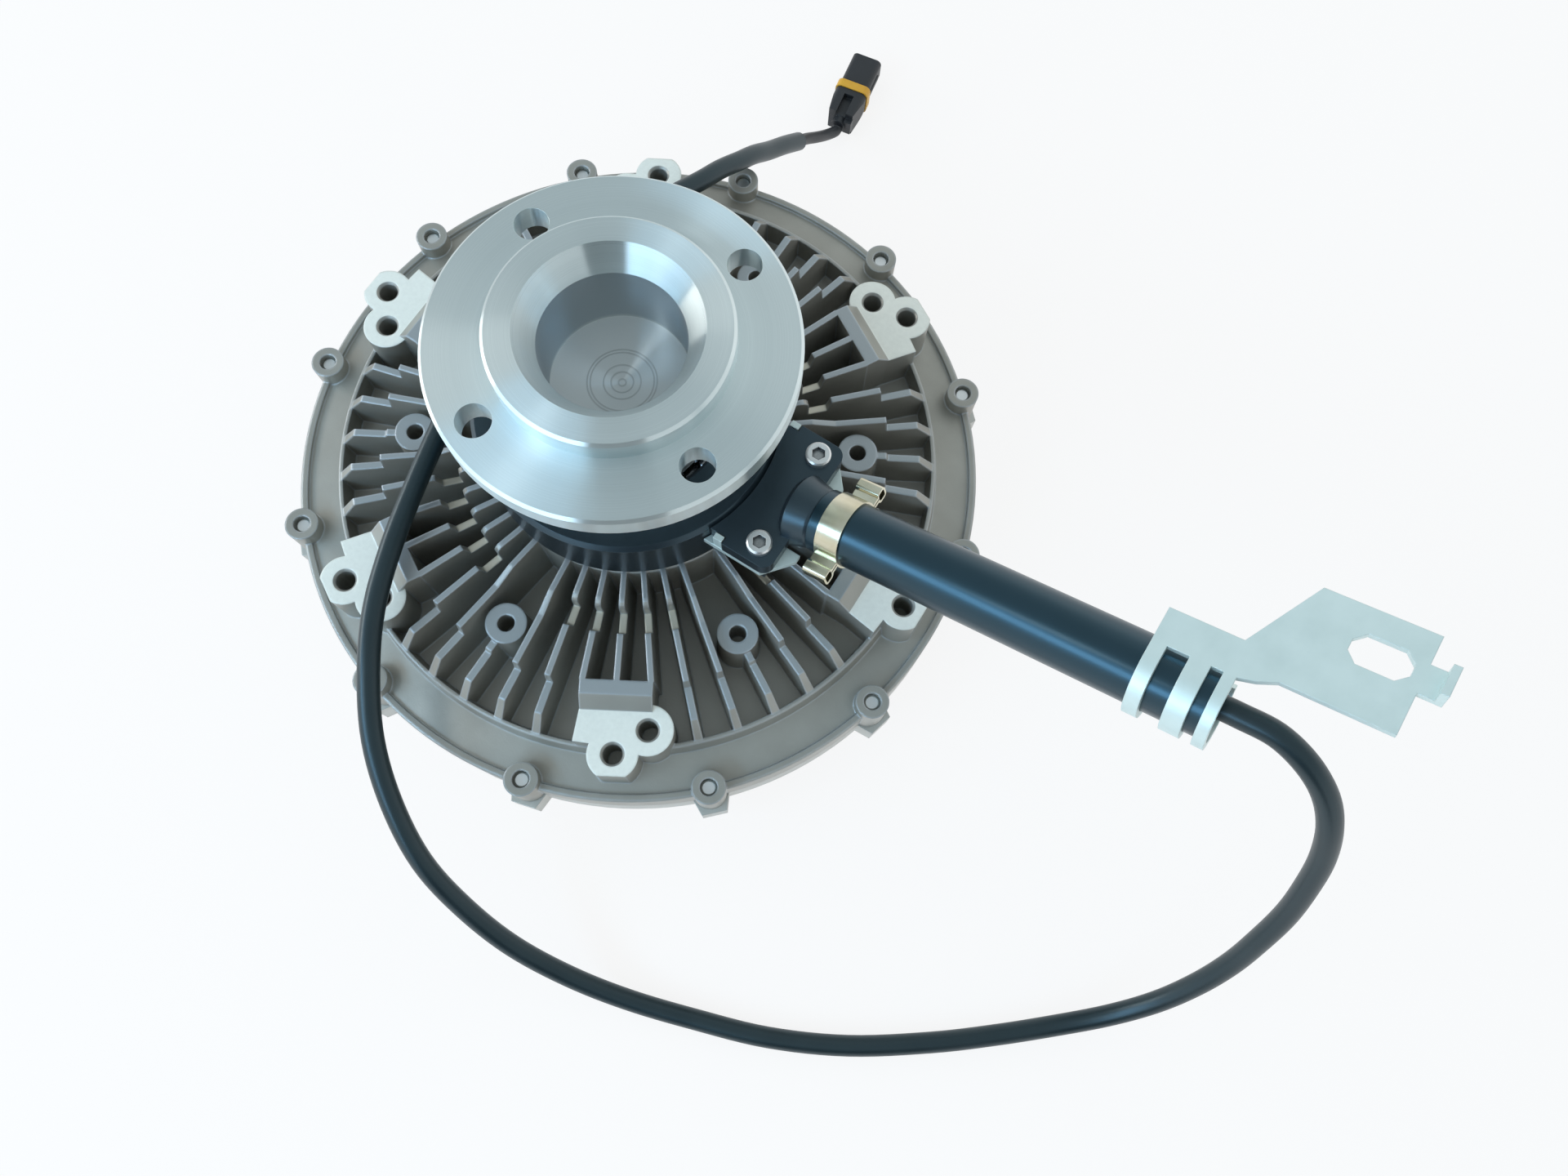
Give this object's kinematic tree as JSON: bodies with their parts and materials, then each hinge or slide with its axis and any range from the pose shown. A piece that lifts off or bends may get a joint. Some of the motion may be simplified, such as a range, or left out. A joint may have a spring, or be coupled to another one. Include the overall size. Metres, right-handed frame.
{
  "type": "viscous fan clutch",
  "caption": "Electronically controlled viscous fan clutch: finned housing with fan pads, flanged hub, coil carrier held by a rubber hose, and a cable with a connector.",
  "frame": {"origin": "on the clutch axis, on the flat front face of the cover that the part rests on", "axes": "+Z along the clutch axis towards the engine flange, +X along the hose of the coil carrier"},
  "size_m": [0.3998, 0.4022, 0.1699],
  "materials": {
    "turned_steel": "turned and bright",
    "dark_steel": "oiled",
    "bearing_steel": "ground",
    "plated_steel": "plated",
    "cast_alloy": "as cast, machined on the pads",
    "pale_alloy": "as cast",
    "zinc_plate": "zinc plated",
    "gold_zinc": "yellow zinc plated",
    "copper": "enamelled wire",
    "resin": "potted",
    "black_moulding": "moulded, satin",
    "yellow_plastic": "moulded",
    "black_rubber": "satin",
    "brown_rubber": "matte"
  },
  "bodies": {
    "coil_carrier": {"coil_housing": "black_moulding", "coil_yoke": "dark_steel", "coil_winding": "copper", "coil_cap": "resin", "coil_bearing_outer": "bearing_steel", "coil_bearing_balls": "bearing_steel", "speed_sensor": "black_moulding", "anchor_plate": "zinc_plate", "lead_block": "black_moulding", "block_screws": "plated_steel", "tether_hose": "black_rubber", "hose_clamp": "gold_zinc", "tether_bracket": "zinc_plate", "lead_in_hose": "black_rubber", "cable": "black_rubber", "core_bundle": "black_moulding", "connector_shell": "black_moulding", "connector_collar": "yellow_plastic", "connector_back": "black_moulding"},
    "hub": {"hub_shaft": "turned_steel", "engine_flange": "turned_steel", "rotor_disc": "cast_alloy", "rotor_bolt": "dark_steel", "spacer_sleeve": "turned_steel", "main_bearing_inner": "bearing_steel", "coil_bearing_inner": "bearing_steel", "coil_circlip": "dark_steel", "spring_ring": "dark_steel", "return_spring": "dark_steel"},
    "valve": {"valve_armature": "dark_steel"},
    "housing": {"housing_body": "cast_alloy", "front_cover": "pale_alloy", "cover_screws": "plated_steel", "cover_seal": "black_rubber", "reservoir_plate": "plated_steel", "main_bearing_outer": "bearing_steel", "main_bearing_balls": "bearing_steel", "bearing_circlip": "dark_steel", "shaft_seal": "brown_rubber", "flux_ring": "dark_steel"}
  },
  "joints": [
    {"name": "hub_spin", "type": "hinge", "parent": "coil_carrier", "child": "hub", "pos_m": [0, 0, 0.082], "axis": [0, 0, 1], "continuous": true},
    {"name": "housing_spin", "type": "hinge", "parent": "hub", "child": "housing", "pos_m": [0, 0, 0.0545], "axis": [0, 0, 1], "continuous": true},
    {"name": "valve_lift", "type": "slide", "parent": "hub", "child": "valve", "axis": [0, 0, 1], "range_m": [0, 0.0015], "stiffness_N_per_m": 2000, "springref_m": -0.001, "deforming": ["return_spring"]}
  ]
}
